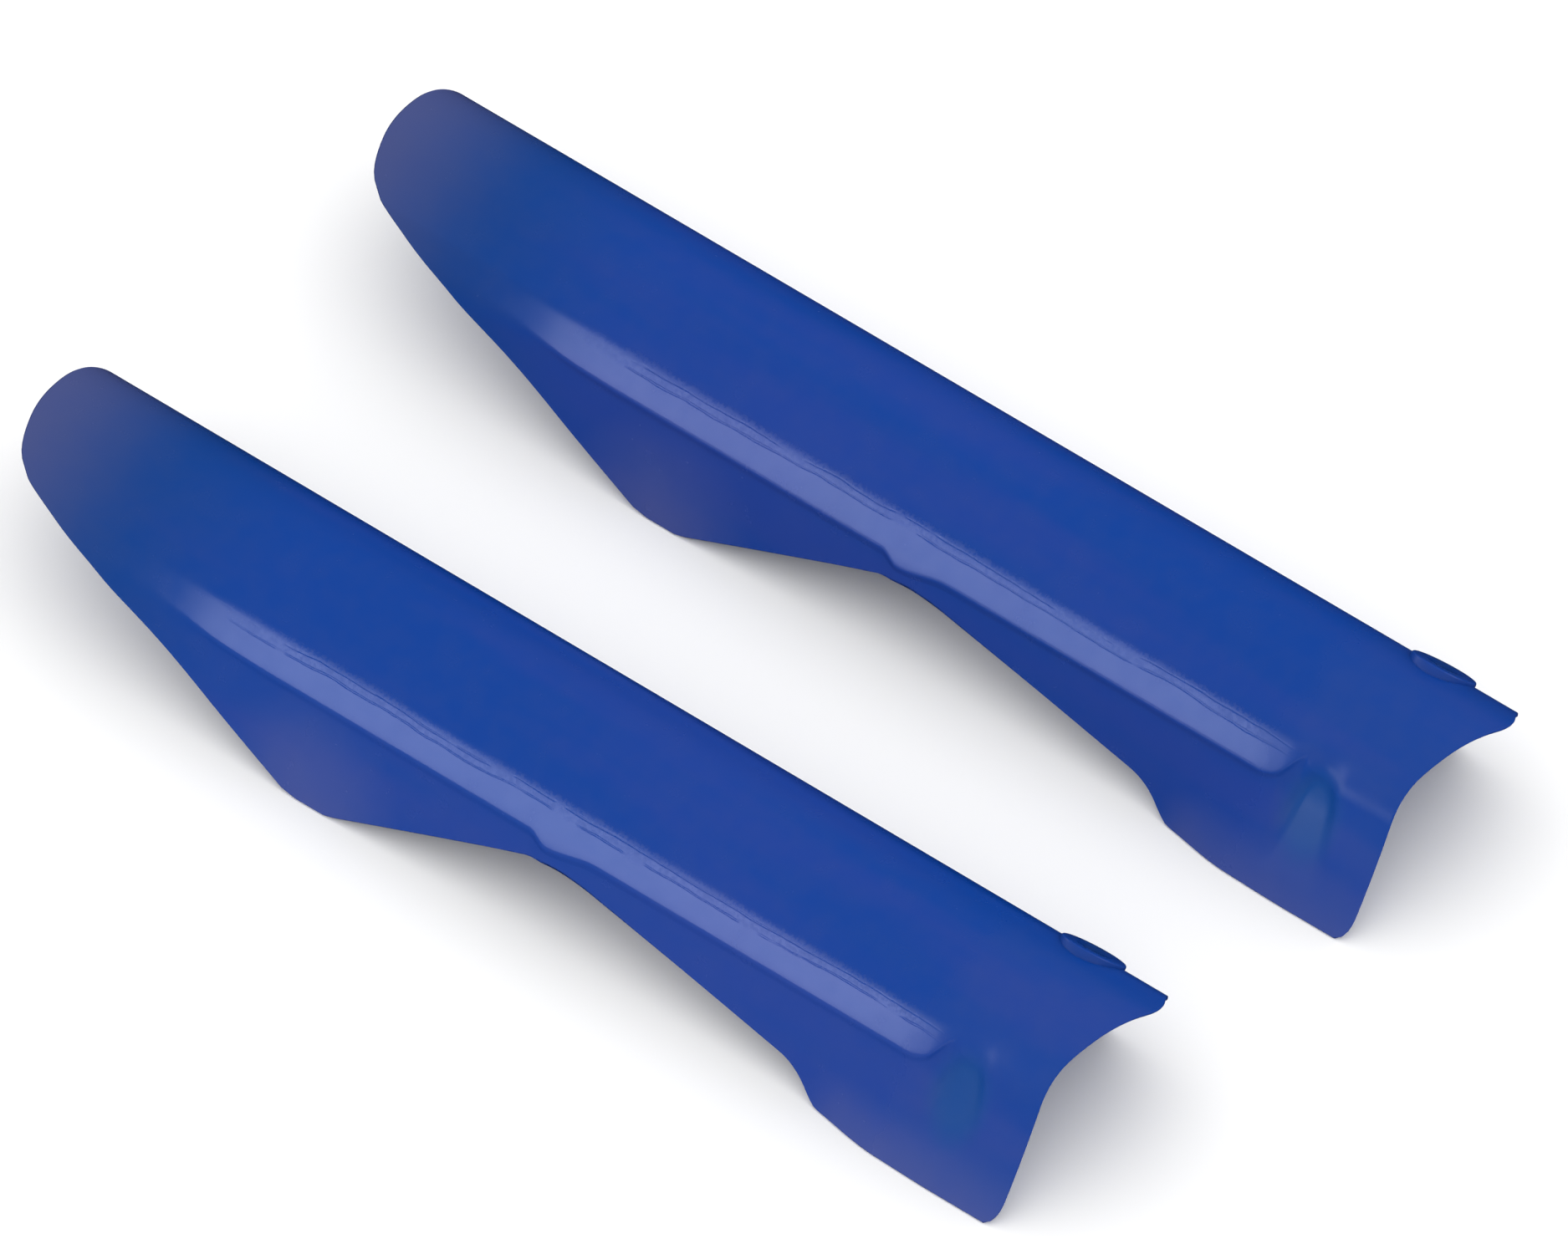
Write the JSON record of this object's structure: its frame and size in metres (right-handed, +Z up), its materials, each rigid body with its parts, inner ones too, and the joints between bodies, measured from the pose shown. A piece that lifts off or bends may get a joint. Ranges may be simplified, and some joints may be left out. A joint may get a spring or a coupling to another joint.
{
  "type": "motorcycle fork guard pair",
  "caption": "Pair of long blue moulded half-round fork leg guards, each with a side wing, a ledge and a flared foot with screw fixings.",
  "frame": {"origin": "middle of the pair's bounding box, on the floor that the guards lie on", "axes": "+X along the guards from their top ends to their feet; +Y from the wing side to the plain side wall; +Z up, open side down"},
  "size_m": [0.5002, 0.2768, 0.06],
  "materials": {
    "blue_moulding": "injection-moulded polypropylene, satin gloss with a faint orange peel",
    "steel": "zinc-plated, fine turned lines",
    "brass": "machined, knurled outside"
  },
  "bodies": {
    "first_guard": {"first_guard_moulded_shell": "blue_moulding", "first_guard_side_collar": "steel", "first_guard_side_bolt": "steel", "first_guard_upper_insert": "brass", "first_guard_lower_insert": "brass"},
    "second_guard": {"second_guard_moulded_shell": "blue_moulding", "second_guard_side_collar": "steel", "second_guard_side_bolt": "steel", "second_guard_upper_insert": "brass", "second_guard_lower_insert": "brass"}
  },
  "joints": [
    {"name": "second_guard_lift", "type": "slide", "parent": "first_guard", "child": "second_guard", "axis": [0, 0, 1], "range_m": [0, 0.3]}
  ]
}
